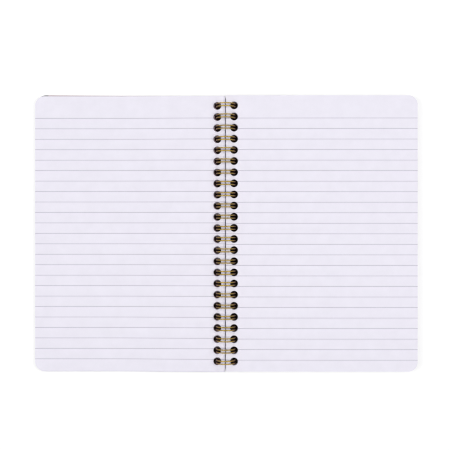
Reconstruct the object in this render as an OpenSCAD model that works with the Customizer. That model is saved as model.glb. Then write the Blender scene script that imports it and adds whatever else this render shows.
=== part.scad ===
/* [Pages] */
// Width of a leaf from its spine edge to its fore edge
page_w = 145.5; // [120:0.5:180]
// Height of a leaf along the spine
page_h = 210; // [150:1:240]
// Radius of the two outer corners of a leaf
corner_r = 7; // [3:0.5:15]
// Thickness of the leaves turned to the left, at the loops
left_stack = 2.7; // [1:0.1:3]
// Thickness of the leaves still on the right, at the loops
right_stack = 4.9; // [2:0.1:5.5]
// Height that air between the left leaves adds at their fore edge
left_fan = 0.3; // [0:0.1:1]
// Height that air between the right leaves adds at their fore edge
right_fan = 3; // [0:0.1:3]
// Free gap between the spine edges of the left and the right leaves
spine_gap = 0.65; // [0.5:0.05:1]
// How far the left leaves have slid down along the loops
left_slip = 0.35; // [0:0.05:0.4]

/* [Covers] */
// Thickness of the cover card
cover_t = 0.6; // [0.4:0.1:1]
// Distance from the centre line to a cover's spine edge
cover_setback = 1.2; // [1:0.1:1.5]
// Turn of the front cover in its loops, in degrees, which shows its top corner
cover_skew = 0.2; // [0:0.05:0.25]
// How far the front cover has slid up along the loops
cover_slip = 0.25; // [0:0.05:0.3]

/* [Punching] */
// Most holes along the spine, one for each loop
most_holes = 24; // [10:1:24]
// Least distance from a leaf's end to the centre of the first hole
end_margin = 7; // [5:0.5:9]
// Distance between two holes
hole_pitch = 8.4667; // [8:0.1:8.6]
// Diameter of a hole
hole_d = 5.8; // [5.4:0.1:6]
// Distance from a leaf's spine edge to the centres of its holes
page_inset = 6.35; // [6:0.05:6.5]
// Distance from the centre line to the centres of the back cover's holes
back_inset = 6.3; // [6:0.05:6.4]
// Distance from the centre line to the centres of the front cover's holes
front_inset = 5.9; // [5.8:0.05:6]

/* [Open leaves] */
// Height of the covers above the table where they hang in the loops
spine_rise = 2.6; // [2.4:0.1:3]
// Distance from the centre line at which the leaves start to fall
flat_run = 14; // [10:1:20]
// Length over which the leaves fall to the table
fall_run = 76; // [40:1:90]
// Air between a cover and the leaves that lie on it
leaf_air = 0.05; // [0.02:0.01:0.1]

/* [Wire] */
// Diameter of the wire
wire_d = 0.9; // [0.7:0.05:1]
// Radius of a loop on the wire's centre line
loop_r = 7.1; // [7:0.1:7.3]
// Distance between the two legs of a loop
leg_gap = 2.2; // [2:0.1:2.4]
// Radius of the bends that lead from one loop to the next
bend_r = 1; // [0.7:0.1:1.4]
// Distance from a loop's closed tip back to the base of the loop
tip_gap = 1.2; // [1.1:0.1:2]
// Place of the base round the loop, in degrees, with 270 straight down
seam_angle = 258; // [254:1:264]

/* [Hidden] */

hole_count = min(most_holes, floor((page_h - 2 * end_margin) / hole_pitch) + 1);
loop_z = loop_r + wire_d / 2;
fore_edge = spine_gap / 2 + page_w;
page_hole = spine_gap / 2 + page_inset;
through = 40;
hole_fn = 48;
fall_steps = 12;

wire_sides = 6;
leg_steps = 16;
bend_steps = 2;
tip_steps = 4;
loop_length = 2 * PI * loop_r;
leg_top = loop_length - tip_gap - leg_gap / 2;

// Height of the underside of the leaves at a distance from the centre line: level at the loops, then an S-curve
function lift(x) =
    x <= flat_run ? spine_rise
    : x >= flat_run + fall_run ? 0
    : spine_rise * (1 + cos(180 * (x - flat_run) / fall_run)) / 2;

// Distances at which the profile of a leaf has a corner
function stations(inner) = concat(
    [inner],
    [for (i = [0 : fall_steps]) flat_run + fall_run * i / fall_steps],
    [fore_edge]
);

// Share of the fall that is behind at a distance from the centre line
function fallen(x) = 1 - lift(x) / spine_rise;

// Section through a stack of leaves from its spine edge to its fore edge, where it fans out
module leaf_profile(inner, low, high, fan) {
    xs = stations(inner);
    last = len(xs) - 1;
    polygon(concat(
        [for (i = [0 : last]) [xs[i], lift(xs[i]) + low]],
        [for (i = [last : -1 : 0]) [xs[i], lift(xs[i]) + high + fan * fallen(xs[i])]]
    ));
}

// Outline of a leaf seen from above, square at the spine and round at the fore edge
module leaf_outline(inner) {
    translate([inner, -page_h / 2])
        square([fore_edge - inner - corner_r, page_h]);
    translate([fore_edge - corner_r - 1, corner_r - page_h / 2])
        square([corner_r + 1, page_h - 2 * corner_r]);
    for (side = [-1, 1])
        translate([fore_edge - corner_r, side * (page_h / 2 - corner_r)])
            circle(r = corner_r, $fn = 64);
}

// Row of round holes for the loops
module punching(inset) {
    for (i = [0 : hole_count - 1])
        translate([inset, (i - (hole_count - 1) / 2) * hole_pitch, -1])
            cylinder(d = hole_d, h = through, $fn = hole_fn);
}

// Stack of leaves on the right of the loops, between two heights above its underside
module leaves(inner, inset, low, high, fan = 0) {
    difference() {
        intersection() {
            translate([0, page_h / 2, 0])
                rotate([90, 0, 0])
                    linear_extrude(height = page_h)
                        leaf_profile(inner, low, high, fan);
            translate([0, 0, -1])
                linear_extrude(height = through)
                    leaf_outline(inner);
        }
        punching(inset);
    }
}

// Route of the wire on the unrolled loop: distance round the loop from its base, and place along the spine
function bend(s, y, r, from, to, steps) =
    [for (i = [0 : steps]) let (a = from + (to - from) * i / steps) [s + r * sin(a), y + r * cos(a)]];

function leg(y, from, to) =
    [for (i = [1 : leg_steps - 1]) [from + (to - from) * i / leg_steps, y]];

function loop_route(y) = concat(
    bend(bend_r, y - leg_gap / 2 - bend_r, bend_r, -90, 0, bend_steps),
    leg(y - leg_gap / 2, bend_r, leg_top),
    bend(leg_top, y, leg_gap / 2, 180, 0, tip_steps),
    leg(y + leg_gap / 2, leg_top, bend_r),
    bend(bend_r, y + leg_gap / 2 + bend_r, bend_r, 180, 270, bend_steps)
);

function wire_route() =
    [for (i = [0 : hole_count - 1]) each loop_route((i - (hole_count - 1) / 2) * hole_pitch)];

// Ring of points round the wire at one place of the route, which is wrapped round the loop
function wire_ring(route, i) =
    let (
        before = route[max(i - 1, 0)],
        after = route[min(i + 1, len(route) - 1)],
        way = (after - before) / norm(after - before),
        a = seam_angle + route[i][0] / loop_r * 180 / PI,
        out = [cos(a), 0, sin(a)],
        side = [way[1] * sin(a), way[0], -way[1] * cos(a)],
        centre = loop_r * out + [0, route[i][1], loop_z]
    )
    [for (k = [0 : wire_sides - 1])
        let (b = 360 * k / wire_sides)
        centre + wire_d / 2 * (cos(b) * out + sin(b) * side)];

module binding_wire() {
    route = wire_route();
    rings = len(route);
    points = [for (i = [0 : rings - 1]) each wire_ring(route, i)];
    walls = [for (i = [0 : rings - 2], k = [0 : wire_sides - 1])
        let (
            a = i * wire_sides + k,
            b = i * wire_sides + (k + 1) % wire_sides,
            c = b + wire_sides,
            d = a + wire_sides
        )
        each [[a, b, c], [a, c, d]]];
    start_cap = [for (k = [wire_sides - 1 : -1 : 0]) k];
    end_cap = [for (k = [0 : wire_sides - 1]) (rings - 1) * wire_sides + k];
    color("darkgoldenrod")
        polyhedron(points = points, faces = concat([start_cap, end_cap], walls), convexity = 10);
}

module left_pages() {
    low = cover_t + leaf_air;
    color("ghostwhite")
        translate([0, -left_slip, 0])
            mirror([1, 0, 0])
                leaves(spine_gap / 2, page_hole, low, low + left_stack, left_fan);
}

module right_pages() {
    low = cover_t + leaf_air;
    color("ghostwhite")
        leaves(spine_gap / 2, page_hole, low, low + right_stack, right_fan);
}

module front_cover() {
    color("rosybrown")
        translate([0, cover_slip, 0])
            rotate([0, 0, -cover_skew])
                mirror([1, 0, 0])
                    leaves(cover_setback, front_inset, 0, cover_t);
}

module back_cover() {
    color("rosybrown")
        leaves(cover_setback, back_inset, 0, cover_t);
}

binding_wire();
left_pages();
right_pages();
front_cover();
back_cover();
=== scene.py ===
"""Looks of an open twin-loop notebook: wire, two stacks of ruled leaves, two card covers, white studio."""

import math
import random

import bpy
from bpy.props import FloatProperty, FloatVectorProperty, IntProperty, PointerProperty, StringProperty
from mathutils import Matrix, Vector


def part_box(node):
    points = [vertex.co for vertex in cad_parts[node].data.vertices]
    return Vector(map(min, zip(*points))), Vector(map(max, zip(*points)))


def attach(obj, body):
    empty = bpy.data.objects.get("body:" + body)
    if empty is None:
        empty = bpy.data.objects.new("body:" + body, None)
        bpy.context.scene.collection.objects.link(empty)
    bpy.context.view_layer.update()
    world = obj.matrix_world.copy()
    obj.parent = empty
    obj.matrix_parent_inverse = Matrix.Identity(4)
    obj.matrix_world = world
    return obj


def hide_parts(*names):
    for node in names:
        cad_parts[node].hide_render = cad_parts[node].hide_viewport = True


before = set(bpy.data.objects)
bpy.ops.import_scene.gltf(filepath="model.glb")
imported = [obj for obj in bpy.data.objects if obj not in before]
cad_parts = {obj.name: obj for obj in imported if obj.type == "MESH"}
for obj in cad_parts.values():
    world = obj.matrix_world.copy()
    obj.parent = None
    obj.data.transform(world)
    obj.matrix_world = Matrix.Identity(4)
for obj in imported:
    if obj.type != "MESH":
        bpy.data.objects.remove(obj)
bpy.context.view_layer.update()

bl_info = {
    "name": "Open twin-loop notebook",
    "version": (1, 0, 0),
    "blender": (4, 5, 0),
    "location": "View3D > Sidebar > Notebook",
    "description": "Models the wire, the leaves and the covers of an open notebook, and its studio",
    "category": "Object",
}

MM = 0.001

WIRE_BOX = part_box("binding_wire")
LEFT_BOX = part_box("left_pages")
RIGHT_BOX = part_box("right_pages")
BACK_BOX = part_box("back_cover")


class NotebookWireSizes(bpy.types.PropertyGroup):
    thickness: FloatProperty(
        name="Wire thickness", description="Diameter of the wire", default=0.9 * MM, unit="LENGTH")
    loop_radius: FloatProperty(
        name="Loop radius", description="Radius of a loop on the wire's centre line",
        default=7.1 * MM, unit="LENGTH")
    leg_distance: FloatProperty(
        name="Leg distance", description="Distance between the two legs of a loop",
        default=2.2 * MM, unit="LENGTH")
    bend_radius: FloatProperty(
        name="Bend radius", description="Radius of the bends between two loops",
        default=1.0 * MM, unit="LENGTH")
    tip_gap: FloatProperty(
        name="Tip gap", description="Distance from a loop's closed tip to its base",
        default=1.2 * MM, unit="LENGTH")
    seam_angle: FloatProperty(
        name="Seam angle", description="Place of the base round the loop, from the right leaves upwards",
        default=math.radians(258), subtype="ANGLE")
    sides: IntProperty(name="Sides", description="Sides of the wire's round section", default=14, min=6)


class NotebookLeafSizes(bpy.types.PropertyGroup):
    height: FloatProperty(
        name="Leaf height", description="Height of a leaf along the spine",
        default=RIGHT_BOX[1].y - RIGHT_BOX[0].y, unit="LENGTH")
    spine_edge: FloatProperty(
        name="Spine edge", description="Distance from the centre line to a leaf's spine edge",
        default=RIGHT_BOX[0].x, unit="LENGTH")
    fore_edge: FloatProperty(
        name="Fore edge", description="Distance from the centre line to a leaf's fore edge",
        default=RIGHT_BOX[1].x, unit="LENGTH")
    corner_radius: FloatProperty(
        name="Corner radius", description="Radius of the two outer corners",
        default=7.0 * MM, unit="LENGTH")
    underside: FloatProperty(
        name="Underside", description="Height of the lowest leaf's underside at the fore edge",
        default=RIGHT_BOX[0].z, unit="LENGTH")
    leaf_pitch: FloatProperty(
        name="Leaf pitch", description="Thickness of a leaf with the air on it",
        default=0.1 * MM, unit="LENGTH")
    leaf_air: FloatProperty(
        name="Leaf air", description="Air between two leaves", default=0.012 * MM, unit="LENGTH")
    left_fan: FloatProperty(
        name="Left fan", description="Height that air between the left leaves adds at their fore edge",
        default=0.3 * MM, unit="LENGTH")
    right_fan: FloatProperty(
        name="Right fan", description="Height that air between the right leaves adds at their fore edge",
        default=3.0 * MM, unit="LENGTH")
    left_spread: FloatProperty(
        name="Left spread", description="How far the lowest left leaf lies below the top one on the loops",
        default=1.0 * MM, unit="LENGTH")
    slid_up: FloatProperty(
        name="Slid up", description="Share of that spread by which the top left leaf has slid up",
        default=0.2)
    jog: FloatProperty(
        name="Jog", description="How far a leaf may lie off its neighbours",
        default=0.1 * MM, unit="LENGTH")
    hole_diameter: FloatProperty(
        name="Hole diameter", description="Diameter of a hole", default=6.0 * MM, unit="LENGTH")
    hole_distance: FloatProperty(
        name="Hole distance", description="Distance between two holes", default=8.4667 * MM, unit="LENGTH")
    hole_count: IntProperty(name="Holes", description="Number of holes along the spine", default=24, min=1)
    hole_inset: FloatProperty(
        name="Hole inset", description="Distance from the centre line to the holes",
        default=RIGHT_BOX[0].x + 6.05 * MM, unit="LENGTH")


class NotebookLaySizes(bpy.types.PropertyGroup):
    rise: FloatProperty(
        name="Rise", description="Height of the covers where they hang in the loops",
        default=2.6 * MM, unit="LENGTH")
    flat_run: FloatProperty(
        name="Flat run", description="Distance from the centre line at which the leaves start to fall",
        default=14 * MM, unit="LENGTH")
    fall_run: FloatProperty(
        name="Fall run", description="Length over which the leaves fall to the table",
        default=76 * MM, unit="LENGTH")
    fall_steps: IntProperty(name="Fall steps", description="Strips in the fall", default=24, min=4)


class NotebookCoverSizes(bpy.types.PropertyGroup):
    thickness: FloatProperty(
        name="Card thickness", description="Thickness of the cover card", default=0.6 * MM, unit="LENGTH")
    spine_edge: FloatProperty(
        name="Spine edge", description="Distance from the centre line to a cover's spine edge",
        default=BACK_BOX[0].x, unit="LENGTH")
    back_inset: FloatProperty(
        name="Back holes", description="Distance from the centre line to the back cover's holes",
        default=6.3 * MM, unit="LENGTH")
    front_inset: FloatProperty(
        name="Front holes", description="Distance from the centre line to the front cover's holes",
        default=5.9 * MM, unit="LENGTH")
    skew: FloatProperty(
        name="Skew", description="Turn of the front cover in its loops",
        default=math.radians(0.38), subtype="ANGLE")
    slip: FloatProperty(
        name="Slip", description="How far the front cover has slid up the loops",
        default=0.15 * MM, unit="LENGTH")
    rounding: FloatProperty(
        name="Rounding", description="Rounding of the card's cut edges", default=0.12 * MM, unit="LENGTH")
    band: FloatProperty(
        name="Fore-edge band", description="Width of the dark band along the fore edge", default=9.6 * MM,
        unit="LENGTH")


class NotebookRuling(bpy.types.PropertyGroup):
    first_left: FloatProperty(
        name="First left line", description="Distance of the left page's first line from the top edge",
        default=16.65 * MM, unit="LENGTH")
    first_right: FloatProperty(
        name="First right line", description="Distance of the right page's first line from the top edge",
        default=17.3 * MM, unit="LENGTH")
    distance: FloatProperty(
        name="Line distance", description="Distance between two lines", default=8.0 * MM, unit="LENGTH")
    width: FloatProperty(name="Line width", description="Width of a line", default=0.4 * MM, unit="LENGTH")
    count: IntProperty(name="Lines", description="Number of lines on a page", default=24, min=1)


class NotebookColours(bpy.types.PropertyGroup):
    paper: StringProperty(name="Paper", description="Colour of the paper, as hex", default="#EDEAF5")
    ink: StringProperty(
        name="Ruling", description="Colour of the ruled lines, as hex", default="#B9B4C4")
    # Painted shade: the dark colour given to the leaves' edges in the holes and to the lower leaves seen deep
    # in them.
    painted_hole_shade: StringProperty(
        name="Punched edges", description="Colour of the leaves' edges in the holes, as hex",
        default="#40261E")
    brass: StringProperty(
        name="Wire", description="Colour of the wire's plating, as hex", default="#98803F")
    # Painted shade: the colour that the wire is darkened toward low down, in and near the holes.
    painted_wire_shade: StringProperty(
        name="Worn wire", description="Colour of the wire where the leaves slide on it, as hex",
        default="#7E5E48")
    rose: StringProperty(name="Cover", description="Colour of the cover card, as hex", default="#B0949E")
    charcoal: StringProperty(
        name="Band", description="Colour of the fore-edge band, as hex", default="#4A474B")
    floor: StringProperty(name="Floor", description="Colour of the floor, as hex", default="#BCBCBC")
    # Painted shade: the floor takes this colour where the notebook closes it in.
    painted_closed_in_shade: StringProperty(
        name="Closed-in floor", description="Colour of the floor where the notebook closes it in, as hex",
        default="#2A1811")


class NotebookStage(bpy.types.PropertyGroup):
    camera_height: FloatProperty(
        name="Camera height", description="Height of the camera above the table",
        default=0.658, unit="LENGTH")
    camera_place: FloatVectorProperty(
        name="Camera place", description="Point of the table under the camera", size=2,
        default=(-0.0009, 0.0064), subtype="XYZ")
    page_level: FloatProperty(
        name="Page level", description="Height of the right page at the loops",
        default=8.15 * MM, unit="LENGTH")
    pixel: FloatProperty(
        name="Pixel", description="Size of a pixel of the picture on the right page",
        default=0.76 * MM, unit="LENGTH")
    picture_width: IntProperty(
        name="Picture width", description="Width of the picture in pixels", default=449)
    world_level: FloatProperty(name="World level", description="Brightness of the room", default=0.2)
    lamp_power: FloatProperty(name="Lamp power", description="Power of a soft box in watts", default=4.6)
    lamp_size: FloatProperty(
        name="Lamp size", description="Width of a soft box", default=0.45, unit="LENGTH")
    lamp_distance: FloatProperty(
        name="Lamp distance", description="Distance of a soft box from the notebook",
        default=1.05, unit="LENGTH")
    lamp_elevation: FloatProperty(
        name="Lamp elevation", description="Height of a soft box as an angle", default=math.radians(55),
        subtype="ANGLE")
    fill_elevation: FloatProperty(
        name="Fill elevation", description="Height of a fill lamp as an angle", default=math.radians(40),
        subtype="ANGLE")
    fill_share: FloatProperty(
        name="Fill share", description="Mean power of the fill lamps as a share of a soft box's", default=0.3)
    fill_lean: FloatProperty(
        name="Fill lean", description="Share by which the top fill lamp is stronger than that mean",
        default=0.3)
    glow: FloatProperty(
        name="Floor glow", description="Brightness that makes the grey floor look white", default=0.56)
    sharpness: FloatProperty(
        name="Pixel filter", description="Width of the pixel filter in pixels. A narrower one is sharper",
        default=1.2)


def linear(colour):
    """An sRGB hex colour as linear red, green, blue and alpha."""
    channels = [int(colour[i:i + 2], 16) / 255 for i in (1, 3, 5)]
    return [c / 12.92 if c <= 0.04045 else ((c + 0.055) / 1.055) ** 2.4 for c in channels] + [1.0]


def add_node(tree, kind, inputs=None, **settings):
    """Adds a shader node with its settings. A socket in the inputs is linked, any other value is set."""
    node = tree.nodes.new(kind)
    for name, value in settings.items():
        setattr(node, name, value)
    for key, value in (inputs or {}).items():
        if isinstance(value, bpy.types.NodeSocket):
            tree.links.new(value, node.inputs[key])
        else:
            node.inputs[key].default_value = value
    return node


def new_material(name):
    """An empty node material, and its tree."""
    material = bpy.data.materials.new(name)
    material.use_nodes = True
    material.node_tree.nodes.clear()
    return material, material.node_tree


def finish_material(tree, shader):
    """Links the shader to the material's output."""
    add_node(tree, "ShaderNodeOutputMaterial", {"Surface": shader})


def grain(tree, place, size, detail=3.0, roughness=0.6):
    """Noise whose clumps have a real size."""
    return add_node(tree, "ShaderNodeTexNoise", {
        "Vector": place, "Scale": 1 / size, "Detail": detail, "Roughness": roughness}).outputs["Fac"]


def math_node(tree, operation, first, second=0.0):
    """The result of a sum of one or two numbers."""
    return add_node(tree, "ShaderNodeMath", {0: first, 1: second}, operation=operation).outputs[0]


def ruled_paper(name, first_line, middle):
    """Uncoated wood-free writing paper, calendered and offset-ruled: matt, faintly cloudy, pale grey lines.

    first_line is the place of the first line along the spine, and middle that of the top leaf's middle.
    """
    ruling = bpy.context.scene.notebook_ruling
    colours = bpy.context.scene.notebook_colours
    leaves = bpy.context.scene.notebook_leaves
    material, tree = new_material(name)
    place = add_node(tree, "ShaderNodeTexCoord").outputs["Object"]
    parts = add_node(tree, "ShaderNodeSeparateXYZ", {"Vector": place}).outputs

    down = math_node(tree, "DIVIDE", math_node(tree, "SUBTRACT", first_line, parts["Y"]), ruling.distance)
    nearest = math_node(tree, "ROUND", down)
    off = math_node(tree, "MULTIPLY",
                    math_node(tree, "ABSOLUTE", math_node(tree, "SUBTRACT", down, nearest)), ruling.distance)
    # Ink spreads a little into uncoated paper, so a line has soft edges.
    line = add_node(tree, "ShaderNodeMapRange", {
        "Value": off, "From Min": ruling.width * 0.35, "From Max": ruling.width * 0.65,
        "To Min": 1.0, "To Max": 0.0}).outputs["Result"]
    after_first = math_node(tree, "GREATER_THAN", nearest, -0.5)
    before_last = math_node(tree, "LESS_THAN", nearest, ruling.count - 0.5)
    printed = math_node(tree, "MULTIPLY", line, math_node(tree, "MULTIPLY", after_first, before_last))
    broken = add_node(tree, "ShaderNodeMapRange", {
        "Value": grain(tree, place, 0.5 * MM), "From Min": 0.3, "From Max": 0.5,
        "To Min": 0.75, "To Max": 1.0}).outputs["Result"]
    ink = math_node(tree, "MULTIPLY", printed, broken)

    # Formation: the fibres clump in clouds some millimetres across, which are a shade lighter or darker.
    clouds = add_node(tree, "ShaderNodeMapRange", {
        "Value": grain(tree, place, 9 * MM), "From Min": 0.3, "From Max": 0.7,
        "To Min": 0.975, "To Max": 1.01}).outputs["Result"]
    fibres = add_node(tree, "ShaderNodeMapRange", {
        "Value": grain(tree, place, 0.35 * MM), "From Min": 0.3, "From Max": 0.7,
        "To Min": 0.985, "To Max": 1.01}).outputs["Result"]
    shade = math_node(tree, "MULTIPLY", clouds, fibres)
    sheet = add_node(tree, "ShaderNodeVectorMath", {0: linear(colours.paper)[:3], "Scale": shade},
                     operation="SCALE").outputs["Vector"]
    printed_sheet = add_node(tree, "ShaderNodeMix", {"Factor": ink, "A": sheet, "B": linear(colours.ink)},
                             data_type="RGBA").outputs["Result"]

    # Painted shade: lower leaves that have slid show deep down in the top leaf's holes, and there the paper
    # is darkened toward the dark hole colour, like the edges in the holes.
    last_row = leaves.hole_count - 1
    spaces = math_node(tree, "DIVIDE", math_node(tree, "SUBTRACT", parts["Y"], middle), leaves.hole_distance)
    rows = math_node(tree, "ADD", spaces, last_row / 2)
    row = math_node(tree, "MINIMUM", math_node(tree, "MAXIMUM", math_node(tree, "ROUND", rows), 0), last_row)
    from_hole = add_node(tree, "ShaderNodeCombineXYZ", {
        "X": math_node(tree, "SUBTRACT", math_node(tree, "ABSOLUTE", parts["X"]), leaves.hole_inset),
        "Y": math_node(tree, "MULTIPLY", math_node(tree, "SUBTRACT", rows, row), leaves.hole_distance)})
    away = add_node(tree, "ShaderNodeVectorMath", {0: from_hole.outputs["Vector"]}, operation="LENGTH")
    rim = 0.05 * MM
    deep = math_node(tree, "LESS_THAN", away.outputs["Value"], leaves.hole_diameter / 2 - rim)
    # Painted shade: seven tenths of the way to the dark hole colour.
    painted_shade_share = math_node(tree, "MULTIPLY", deep, 0.7)
    colour = add_node(tree, "ShaderNodeMix", {
        "Factor": painted_shade_share, "A": printed_sheet, "B": linear(colours.painted_hole_shade)}, data_type="RGBA")
    bump = add_node(tree, "ShaderNodeBump", {
        "Height": grain(tree, place, 0.25 * MM, 4.0), "Strength": 0.25, "Distance": 0.02 * MM})
    shader = add_node(tree, "ShaderNodeBsdfPrincipled", {
        "Base Color": colour.outputs["Result"], "Roughness": 0.85, "Normal": bump.outputs["Normal"]})
    shader.inputs["Specular IOR Level"].default_value = 0.3
    finish_material(tree, shader.outputs["BSDF"])
    return material


def cut_edges(name):
    """Cut paper edges: lightly rough, a shade greyer than the sheet, and with a painted shade on the edges in
    the holes.
    """
    colours = bpy.context.scene.notebook_colours
    leaves = bpy.context.scene.notebook_leaves
    material, tree = new_material(name)
    place = add_node(tree, "ShaderNodeTexCoord").outputs["Object"]
    parts = add_node(tree, "ShaderNodeSeparateXYZ", {"Vector": place}).outputs
    # Painted shade: the edges inside the holes take the dark hole colour.
    across = math_node(tree, "SUBTRACT", math_node(tree, "ABSOLUTE", parts["X"]), leaves.hole_inset)
    radius = leaves.hole_diameter / 2 + 2 * leaves.jog
    reach = (leaves.hole_count - 1) * leaves.hole_distance / 2 + radius
    inner = math_node(tree, "MULTIPLY",
                      math_node(tree, "LESS_THAN", math_node(tree, "ABSOLUTE", across), radius),
                      math_node(tree, "LESS_THAN", math_node(tree, "ABSOLUTE", parts["Y"]), reach))
    tone = add_node(tree, "ShaderNodeMapRange", {
        "Value": grain(tree, place, 0.6 * MM), "From Min": 0.3, "From Max": 0.7,
        "To Min": 0.86, "To Max": 0.96}).outputs["Result"]
    outside = add_node(tree, "ShaderNodeVectorMath", {0: linear(colours.paper)[:3], "Scale": tone},
                       operation="SCALE").outputs["Vector"]
    colour = add_node(tree, "ShaderNodeMix", {
        "Factor": inner, "A": outside, "B": linear(colours.painted_hole_shade)}, data_type="RGBA").outputs["Result"]
    shader = add_node(tree, "ShaderNodeBsdfPrincipled", {"Base Color": colour, "Roughness": 0.9})
    finish_material(tree, shader.outputs["BSDF"])
    return material


def brass_wire():
    """Drawn steel wire, brass-plated: shiny on top of the loops; low down, in and near the holes, darkened by
    a painted shade and a little rougher.
    """
    colours = bpy.context.scene.notebook_colours
    material, tree = new_material("brass_plated_wire")
    place = add_node(tree, "ShaderNodeTexCoord").outputs["Object"]
    tone = add_node(tree, "ShaderNodeMapRange", {
        "Value": grain(tree, place, 4 * MM), "From Min": 0.3, "From Max": 0.7,
        "To Min": 0.85, "To Max": 1.1}).outputs["Result"]
    # Painted shade: the lower the wire, the more its colour is darkened toward the shaded wire colour; the
    # same share adds a little roughness.
    height = add_node(tree, "ShaderNodeSeparateXYZ", {"Vector": place}).outputs["Z"]
    painted_low_shade = add_node(tree, "ShaderNodeMapRange", {
        "Value": height, "From Min": 10 * MM, "From Max": 14 * MM, "To Min": 1.0, "To Max": 0.0},
        interpolation_type="SMOOTHSTEP").outputs["Result"]
    metal = add_node(tree, "ShaderNodeMix", {
        "Factor": painted_low_shade, "A": linear(colours.brass), "B": linear(colours.painted_wire_shade)}, data_type="RGBA")
    plating = add_node(tree, "ShaderNodeVectorMath", {
        0: metal.outputs["Result"], "Scale": tone}, operation="SCALE").outputs["Vector"]
    marks = add_node(tree, "ShaderNodeMapRange", {
        "Value": grain(tree, place, 0.4 * MM), "From Min": 0.3, "From Max": 0.7,
        "To Min": 0.22, "To Max": 0.38}).outputs["Result"]
    rough = math_node(tree, "ADD", marks, math_node(tree, "MULTIPLY", painted_low_shade, 0.1))
    bump = add_node(tree, "ShaderNodeBump", {
        "Height": grain(tree, place, 0.15 * MM, 4.0), "Strength": 0.15, "Distance": 0.01 * MM})
    shader = add_node(tree, "ShaderNodeBsdfPrincipled", {
        "Base Color": plating, "Metallic": 1.0, "Roughness": rough, "Normal": bump.outputs["Normal"]})
    finish_material(tree, shader.outputs["BSDF"])
    return material


def cover_card(name, banded):
    """Laminated cover board with a fine linen emboss: matt, dyed rose, with a dark band if banded."""
    colours = bpy.context.scene.notebook_colours
    covers = bpy.context.scene.notebook_covers
    leaves = bpy.context.scene.notebook_leaves
    material, tree = new_material(name)
    place = add_node(tree, "ShaderNodeTexCoord").outputs["Object"]
    parts = add_node(tree, "ShaderNodeSeparateXYZ", {"Vector": place}).outputs
    clouds = add_node(tree, "ShaderNodeMapRange", {
        "Value": grain(tree, place, 14 * MM), "From Min": 0.3, "From Max": 0.7,
        "To Min": 0.97, "To Max": 1.02}).outputs["Result"]
    rose = add_node(tree, "ShaderNodeVectorMath", {0: linear(colours.rose)[:3], "Scale": clouds},
                    operation="SCALE").outputs["Vector"]
    colour = rose
    if banded:
        band_edge = leaves.fore_edge - covers.band
        inside = math_node(tree, "GREATER_THAN", math_node(tree, "ABSOLUTE", parts["X"]), band_edge)
        colour = add_node(tree, "ShaderNodeMix", {
            "Factor": inside, "A": rose, "B": linear(colours.charcoal)}, data_type="RGBA").outputs["Result"]
    # The emboss is a woven pattern, one wave each way for a thread.
    thread = 0.7 * MM
    weave = 2 * math.pi / thread
    warp = math_node(tree, "SINE", math_node(tree, "MULTIPLY", parts["X"], weave))
    weft = math_node(tree, "SINE", math_node(tree, "MULTIPLY", parts["Y"], weave))
    linen = math_node(tree, "ADD", math_node(tree, "MULTIPLY", warp, weft),
                      grain(tree, place, 0.8 * MM))
    bump = add_node(tree, "ShaderNodeBump", {"Height": linen, "Strength": 0.3, "Distance": 0.04 * MM})
    shader = add_node(tree, "ShaderNodeBsdfPrincipled", {
        "Base Color": colour, "Roughness": 0.55, "Normal": bump.outputs["Normal"]})
    finish_material(tree, shader.outputs["BSDF"])
    return material


def select_only(piece):
    """Selects one object and makes it the active one."""
    bpy.ops.object.select_all(action="DESELECT")
    piece.select_set(True)
    bpy.context.view_layer.objects.active = piece


def start_piece(name):
    """Names the new primitive, which is the active object, and enters edit mode with nothing selected."""
    piece = bpy.context.object
    piece.name = name
    piece.data.name = name
    bpy.ops.object.mode_set(mode="EDIT")
    bpy.ops.mesh.select_mode(type="VERT")
    bpy.ops.mesh.select_all(action="DESELECT")
    return piece


def pick(piece, test):
    """Selects the vertices whose place passes the test, in edit mode."""
    bpy.ops.mesh.select_all(action="DESELECT")
    bpy.ops.object.mode_set(mode="OBJECT")
    for vertex in piece.data.vertices:
        vertex.select = test(vertex.co)
    bpy.ops.object.mode_set(mode="EDIT")


def apply_modifier(piece, kind, **settings):
    """Adds a modifier, sets it and applies it."""
    select_only(piece)
    modifier = piece.modifiers.new(kind.title(), kind)
    for name, value in settings.items():
        setattr(modifier, name, value)
    bpy.ops.object.modifier_apply(modifier=modifier.name)


def apply_place(piece):
    """Puts the piece's place, turn and scale in its mesh."""
    select_only(piece)
    bpy.ops.object.transform_apply(location=True, rotation=True, scale=True)


def fall(distance):
    """Height of the underside at a distance from the centre line: level at the loops, then an S-curve."""
    lay = bpy.context.scene.notebook_lay
    share = min(max((distance - lay.flat_run) / lay.fall_run, 0), 1)
    return lay.rise * (1 + math.cos(math.pi * share)) / 2


def flat_sheet(name, side, spine_edge):
    """A sheet with no thickness: a strip at the spine, drawn out over the fall, and its corners rounded."""
    lay = bpy.context.scene.notebook_lay
    leaves = bpy.context.scene.notebook_leaves
    bpy.ops.object.select_all(action="DESELECT")
    middle = (spine_edge + lay.flat_run) / 2
    bpy.ops.mesh.primitive_plane_add(size=1, location=(side * middle, 0, lay.rise))
    bpy.context.object.scale = (lay.flat_run - spine_edge, leaves.height, 1)
    bpy.ops.object.transform_apply(location=True, rotation=True, scale=True)
    sheet = start_piece(name)
    stations = [lay.flat_run + lay.fall_run * i / lay.fall_steps for i in range(lay.fall_steps + 1)]
    stations.append(leaves.fore_edge)
    pick(sheet, lambda co: side * co.x > middle)
    for before, after in zip(stations, stations[1:]):
        step = (side * (after - before), 0, fall(after) - fall(before))
        bpy.ops.mesh.extrude_region_move(TRANSFORM_OT_translate={"value": step})
    bpy.ops.mesh.bevel(offset=leaves.corner_radius, offset_type="OFFSET", segments=12, affect="VERTICES")
    bpy.ops.object.mode_set(mode="OBJECT")
    return sheet


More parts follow.
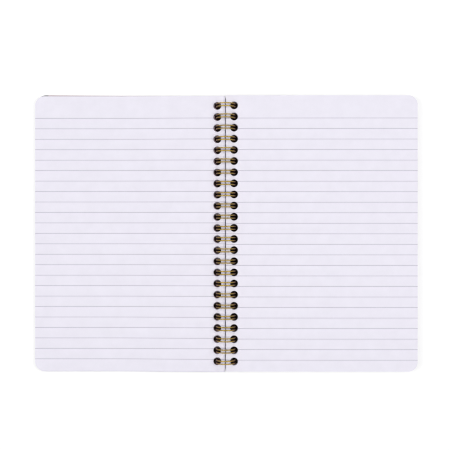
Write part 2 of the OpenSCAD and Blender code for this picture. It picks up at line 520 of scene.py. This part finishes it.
def punch_holes(sheet, side, inset):
    """Cuts the row of round holes."""
    leaves = bpy.context.scene.notebook_leaves
    reach = (leaves.hole_count - 1) * leaves.hole_distance
    bpy.ops.object.select_all(action="DESELECT")
    bpy.ops.mesh.primitive_cylinder_add(
        vertices=32, radius=leaves.hole_diameter / 2, depth=10 * MM,
        location=(side * inset, -reach / 2, bpy.context.scene.notebook_lay.rise))
    punch = bpy.context.object
    apply_place(punch)
    apply_modifier(punch, "ARRAY", count=leaves.hole_count, use_relative_offset=False,
                   use_constant_offset=True, constant_offset_displace=(0, leaves.hole_distance, 0))
    apply_modifier(sheet, "BOOLEAN", operation="DIFFERENCE", solver="EXACT", object=punch)
    bpy.data.objects.remove(punch)


def mark_edges(piece):
    """Gives the second material to the faces that stand upright."""
    for face in piece.data.polygons:
        if abs(face.normal.z) < 0.5:
            face.material_index = 1


def smooth(piece, degrees=30):
    """Shades the piece smooth except at edges sharper than the angle."""
    select_only(piece)
    bpy.ops.object.shade_smooth_by_angle(angle=math.radians(degrees))


def weigh_fall(leaf):
    """Weighs a leaf's vertices by the share of the fall behind them, for the air under its fore part."""
    lay = bpy.context.scene.notebook_lay
    group = leaf.vertex_groups.new(name="fallen")
    for vertex in leaf.data.vertices:
        group.add([vertex.index], 1 - fall(abs(vertex.co.x)) / lay.rise, "REPLACE")


def leaf_stack(name, side, box, fan, spread, seed):
    """A stack of single punched leaves, each a hair off its neighbours. The lower ones have slid down."""
    leaves = bpy.context.scene.notebook_leaves
    lay = bpy.context.scene.notebook_lay
    ruling = bpy.context.scene.notebook_ruling
    thickness = box[1].z - max(lay.rise, fan) - leaves.underside
    count = round(thickness / leaves.leaf_pitch)
    slip = (box[0].y + box[1].y) / 2
    leaf = flat_sheet(name, side, leaves.spine_edge)
    apply_modifier(leaf, "SOLIDIFY", thickness=leaves.leaf_pitch - leaves.leaf_air, offset=1)
    punch_holes(leaf, side, leaves.hole_inset)
    smooth(leaf)
    weigh_fall(leaf)
    stray = random.Random(seed)
    copies = [leaf]
    for level in range(count):
        if level:
            select_only(leaf)
            bpy.ops.object.duplicate()
            copies.append(bpy.context.object)
        top = level == count - 1
        jog = (0, 0) if top else [stray.uniform(-leaves.jog, leaves.jog) for _ in range(2)]
        # The lowest leaves have slid the most, and the top one has slid up a little.
        down = spread * ((1 - level / (count - 1)) ** 3 - leaves.slid_up)
        copies[-1].location = (jog[0], jog[1] + slip - down, leaves.underside + level * leaves.leaf_pitch)
    for level in range(1, count):
        apply_modifier(copies[level], "DISPLACE", direction="Z", strength=fan * level / (count - 1),
                       mid_level=0, vertex_group="fallen")
    bpy.ops.object.select_all(action="DESELECT")
    for copy in copies:
        copy.select_set(True)
    bpy.context.view_layer.objects.active = leaf
    bpy.ops.object.join()
    apply_place(leaf)
    first = ruling.first_left if side < 0 else ruling.first_right
    middle = slip + spread * leaves.slid_up
    leaf.data.materials.append(ruled_paper(name + "_paper", box[1].y - first, middle))
    leaf.data.materials.append(cut_edges(name + "_edges"))
    mark_edges(leaf)
    return leaf


def card_cover(name, side, inset):
    """A cover of card with softened cut edges, punched like the leaves."""
    covers = bpy.context.scene.notebook_covers
    cover = flat_sheet(name, side, covers.spine_edge)
    apply_modifier(cover, "SOLIDIFY", thickness=covers.thickness, offset=1)
    apply_modifier(cover, "BEVEL", width=covers.rounding, segments=2, limit_method="ANGLE",
                   angle_limit=math.radians(60))
    punch_holes(cover, side, inset)
    smooth(cover)
    return cover


class NOTEBOOK_OT_wire(bpy.types.Operator):
    """Bends one wire into the row of twin loops"""
    bl_idname = "notebook.wire"
    bl_label = "Bend the binding wire"

    def turn(self, steps, angle, centre, axis):
        """Draws the wire's open end round an axis by the right-hand rule. Spin itself turns the other way."""
        bpy.ops.mesh.spin(steps=steps, angle=-angle, center=centre, axis=axis)

    def draw_out(self, length):
        """Draws the wire's open end straight along the spine."""
        bpy.ops.mesh.extrude_region_move(TRANSFORM_OT_translate={"value": (0, length, 0)})

    def execute(self, context):
        sizes = context.scene.notebook_wire
        leaves = context.scene.notebook_leaves
        radius, half_leg = sizes.loop_radius, sizes.leg_distance / 2
        axle = Vector((0, 0, radius + sizes.thickness / 2))

        def on_loop(angle, y=0.0):
            return axle + Vector((radius * math.cos(angle), y, radius * math.sin(angle)))

        foot = sizes.seam_angle + sizes.bend_radius / radius
        leg = (2 * math.pi * radius - sizes.tip_gap - half_leg - sizes.bend_radius) / radius
        tip = foot + leg
        foot_out = (math.cos(foot), 0, math.sin(foot))
        tip_in = (-math.cos(tip), 0, -math.sin(tip))
        down = Vector((math.sin(foot), 0, -math.cos(foot))) * sizes.bend_radius
        link = leaves.hole_distance / 2 - half_leg - sizes.bend_radius
        first = -(leaves.hole_count - 1) * leaves.hole_distance / 2

        bpy.ops.object.select_all(action="DESELECT")
        bpy.ops.mesh.primitive_circle_add(
            vertices=sizes.sides, radius=sizes.thickness / 2, fill_type="NOTHING",
            location=on_loop(foot, first - leaves.hole_distance / 2) + down, rotation=(math.pi / 2, 0, 0))
        bpy.ops.object.transform_apply(location=True, rotation=True, scale=True)
        wire = start_piece("twin_loop_wire")
        bpy.ops.mesh.select_all(action="SELECT")
        self.draw_out(link)
        self.turn(5, math.pi / 2, on_loop(foot, first - half_leg - sizes.bend_radius), foot_out)
        self.turn(48, leg, axle, (0, -1, 0))
        self.turn(10, math.pi, on_loop(tip, first), tip_in)
        self.turn(48, leg, axle, (0, 1, 0))
        self.turn(5, math.pi / 2, on_loop(foot, first + half_leg + sizes.bend_radius), foot_out)
        self.draw_out(link)
        bpy.ops.object.mode_set(mode="OBJECT")
        apply_modifier(wire, "ARRAY", count=leaves.hole_count, use_relative_offset=False,
                       use_constant_offset=True, constant_offset_displace=(0, leaves.hole_distance, 0),
                       use_merge_vertices=True, merge_threshold=0.01 * MM)
        # The wire is cut off where the solid ends, just past the first and the last bend.
        bpy.ops.object.mode_set(mode="EDIT")
        for end, outer, inner in ((WIRE_BOX[0].y, False, True), (WIRE_BOX[1].y, True, False)):
            bpy.ops.mesh.select_all(action="SELECT")
            bpy.ops.mesh.bisect(plane_co=(0, end, 0), plane_no=(0, 1, 0), use_fill=True,
                                clear_outer=outer, clear_inner=inner)
        bpy.ops.mesh.select_all(action="SELECT")
        bpy.ops.mesh.remove_doubles(threshold=0.005 * MM)
        bpy.ops.mesh.normals_make_consistent(inside=False)
        bpy.ops.object.mode_set(mode="OBJECT")
        smooth(wire, 60)
        wire.data.materials.append(brass_wire())
        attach(wire, "spine")
        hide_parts("binding_wire")
        return {"FINISHED"}


class NOTEBOOK_OT_leaves(bpy.types.Operator):
    """Stacks the ruled leaves on both sides of the loops"""
    bl_idname = "notebook.leaves"
    bl_label = "Stack the leaves"

    def execute(self, context):
        sizes = context.scene.notebook_leaves
        left = leaf_stack("left_leaf_stack", -1, LEFT_BOX, sizes.left_fan, sizes.left_spread, seed=3)
        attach(left, "left_leaves")
        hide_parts("left_pages")
        right = leaf_stack("right_leaf_stack", 1, RIGHT_BOX, sizes.right_fan, 0, seed=5)
        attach(right, "spine")
        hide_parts("right_pages")
        return {"FINISHED"}


class NOTEBOOK_OT_covers(bpy.types.Operator):
    """Cuts the two covers from card"""
    bl_idname = "notebook.covers"
    bl_label = "Cut the covers"

    def execute(self, context):
        sizes = context.scene.notebook_covers
        front = card_cover("front_card_cover", -1, sizes.front_inset)
        front.rotation_euler = (0, 0, -sizes.skew)
        front.location = (0, sizes.slip, 0)
        apply_place(front)
        front.data.materials.append(cover_card("linen_card_banded", True))
        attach(front, "front")
        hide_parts("front_cover")
        back = card_cover("back_card_cover", 1, sizes.back_inset)
        back.data.materials.append(cover_card("linen_card_plain", False))
        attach(back, "back")
        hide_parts("back_cover")
        return {"FINISHED"}


def seen_directly(tree):
    """One for rays from the camera and for those that metal or glass turns aside, else nothing."""
    path = add_node(tree, "ShaderNodeLightPath").outputs
    return math_node(tree, "MAXIMUM", path["Is Camera Ray"],
                     math_node(tree, "MAXIMUM", path["Is Glossy Ray"], path["Is Transmission Ray"]))


def studio_floor():
    """Seamless paper floor: grey, with a glow that makes it white to the camera and to reflections only, and
    a painted shade where the notebook closes it in.
    """
    stage = bpy.context.scene.notebook_stage
    colours = bpy.context.scene.notebook_colours
    material, tree = new_material("white_studio_paper")
    seen = seen_directly(tree)
    place = add_node(tree, "ShaderNodeTexCoord").outputs["Object"]
    rough = add_node(tree, "ShaderNodeMapRange", {
        "Value": grain(tree, place, 3 * MM), "To Min": 0.85, "To Max": 0.95}).outputs["Result"]
    # Painted shade: the floor is darkened where the notebook closes it in, which is what shows through the
    # punched holes, and there it gets no glow.
    sky = add_node(tree, "ShaderNodeAmbientOcclusion", {"Distance": 30 * MM}, samples=16).outputs["AO"]
    clear = add_node(tree, "ShaderNodeMapRange", {"Value": sky, "From Min": 0.25, "From Max": 0.5},
                     interpolation_type="SMOOTHSTEP").outputs["Result"]
    colour = add_node(tree, "ShaderNodeMix", {
        "Factor": clear, "A": linear(colours.painted_closed_in_shade), "B": linear(colours.floor)}, data_type="RGBA")
    paper = add_node(tree, "ShaderNodeBsdfPrincipled", {
        "Base Color": colour.outputs["Result"], "Roughness": rough})
    # The lamps fade with the distance, and the glow makes up for it.
    away = add_node(tree, "ShaderNodeVectorMath", {0: place}, operation="LENGTH").outputs["Value"]
    level = add_node(tree, "ShaderNodeMapRange", {
        "Value": away, "From Min": 0.25, "From Max": 1.0,
        "To Min": stage.glow, "To Max": 1.0}).outputs["Result"]
    open_level = math_node(tree, "MULTIPLY", clear, level)
    glow = add_node(tree, "ShaderNodeEmission", {
        "Color": (1, 1, 1, 1), "Strength": math_node(tree, "MULTIPLY", seen, open_level)})
    both = add_node(tree, "ShaderNodeAddShader", {0: paper.outputs["BSDF"], 1: glow.outputs["Emission"]})
    finish_material(tree, both.outputs["Shader"])
    return material


class NOTEBOOK_OT_stage(bpy.types.Operator):
    """Sets up the floor, the lamps, the room light and the camera"""
    bl_idname = "notebook.stage"
    bl_label = "Set up the studio"

    def execute(self, context):
        stage = context.scene.notebook_stage
        bpy.ops.object.select_all(action="DESELECT")
        bpy.ops.mesh.primitive_plane_add(size=4, location=(0, 0, 0))
        floor = context.object
        floor.name = "studio_floor"
        floor.data.materials.append(studio_floor())

        # Two soft boxes face each other across the spine, so the loops' shadows stay in their own rows. The
        # two fill lamps are weaker and stand lower, so that a loop's shadow falls on the next loop.
        top_share = stage.fill_share * (1 + stage.fill_lean)
        bottom_share = stage.fill_share * (1 - stage.fill_lean)
        for name, x, y, elevation, share in (
                ("softbox_left", -1, 0, stage.lamp_elevation, 1),
                ("softbox_right", 1, 0, stage.lamp_elevation, 1),
                ("fill_top", 0, 1, stage.fill_elevation, top_share),
                ("fill_bottom", 0, -1, stage.fill_elevation, bottom_share)):
            way = Vector((x * math.cos(elevation), y * math.cos(elevation), math.sin(elevation)))
            bpy.ops.object.light_add(type="AREA", location=way * stage.lamp_distance)
            lamp = context.object
            lamp.name = name
            lamp.data.size = stage.lamp_size
            lamp.data.energy = stage.lamp_power * share
            lamp.rotation_euler = way.to_track_quat("Z", "Y").to_euler()

        world = bpy.data.worlds.new("studio_room")
        context.scene.world = world
        world.use_nodes = True
        room = world.node_tree
        room.nodes["Background"].inputs["Color"].default_value = (1, 1, 1, 1)
        room.links.new(
            math_node(room, "MAXIMUM", seen_directly(room), stage.world_level),
            room.nodes["Background"].inputs["Strength"])

        bpy.ops.object.camera_add(location=(*stage.camera_place, stage.camera_height), rotation=(0, 0, 0))
        camera = context.object
        camera.name = "camera_above"
        camera.data.sensor_fit = "HORIZONTAL"
        distance = stage.camera_height - stage.page_level
        camera.data.lens = camera.data.sensor_width * distance / (stage.picture_width * stage.pixel)
        camera.data.clip_start = 0.01
        context.scene.camera = camera
        context.scene.view_settings.view_transform = "Standard"
        context.scene.cycles.filter_width = stage.sharpness
        return {"FINISHED"}


class NOTEBOOK_PT_panel(bpy.types.Panel):
    """The steps that make the notebook"""
    bl_label = "Notebook"
    bl_idname = "NOTEBOOK_PT_panel"
    bl_space_type = "VIEW_3D"
    bl_region_type = "UI"
    bl_category = "Notebook"

    def draw(self, context):
        for _, step in STEPS:
            self.layout.operator(step.bl_idname)
        for name, group in GROUPS:
            box = self.layout.box()
            box.label(text=name.removeprefix("notebook_").title())
            for field in group.__annotations__:
                box.prop(getattr(context.scene, name), field)


GROUPS = (
    ("notebook_wire", NotebookWireSizes),
    ("notebook_leaves", NotebookLeafSizes),
    ("notebook_lay", NotebookLaySizes),
    ("notebook_covers", NotebookCoverSizes),
    ("notebook_ruling", NotebookRuling),
    ("notebook_colours", NotebookColours),
    ("notebook_stage", NotebookStage),
)
STEPS = (
    ("wire", NOTEBOOK_OT_wire),
    ("leaves", NOTEBOOK_OT_leaves),
    ("covers", NOTEBOOK_OT_covers),
    ("stage", NOTEBOOK_OT_stage),
)


def register():
    for name, group in GROUPS:
        bpy.utils.register_class(group)
        setattr(bpy.types.Scene, name, PointerProperty(type=group))
    for _, step in STEPS:
        bpy.utils.register_class(step)
    bpy.utils.register_class(NOTEBOOK_PT_panel)


def unregister():
    bpy.utils.unregister_class(NOTEBOOK_PT_panel)
    for _, step in reversed(STEPS):
        bpy.utils.unregister_class(step)
    for name, group in reversed(GROUPS):
        delattr(bpy.types.Scene, name)
        bpy.utils.unregister_class(group)


def main():
    """Makes the notebook and its studio."""
    register()
    for name, _ in STEPS:
        getattr(bpy.ops.notebook, name)()


if __name__ == "__main__":
    main()
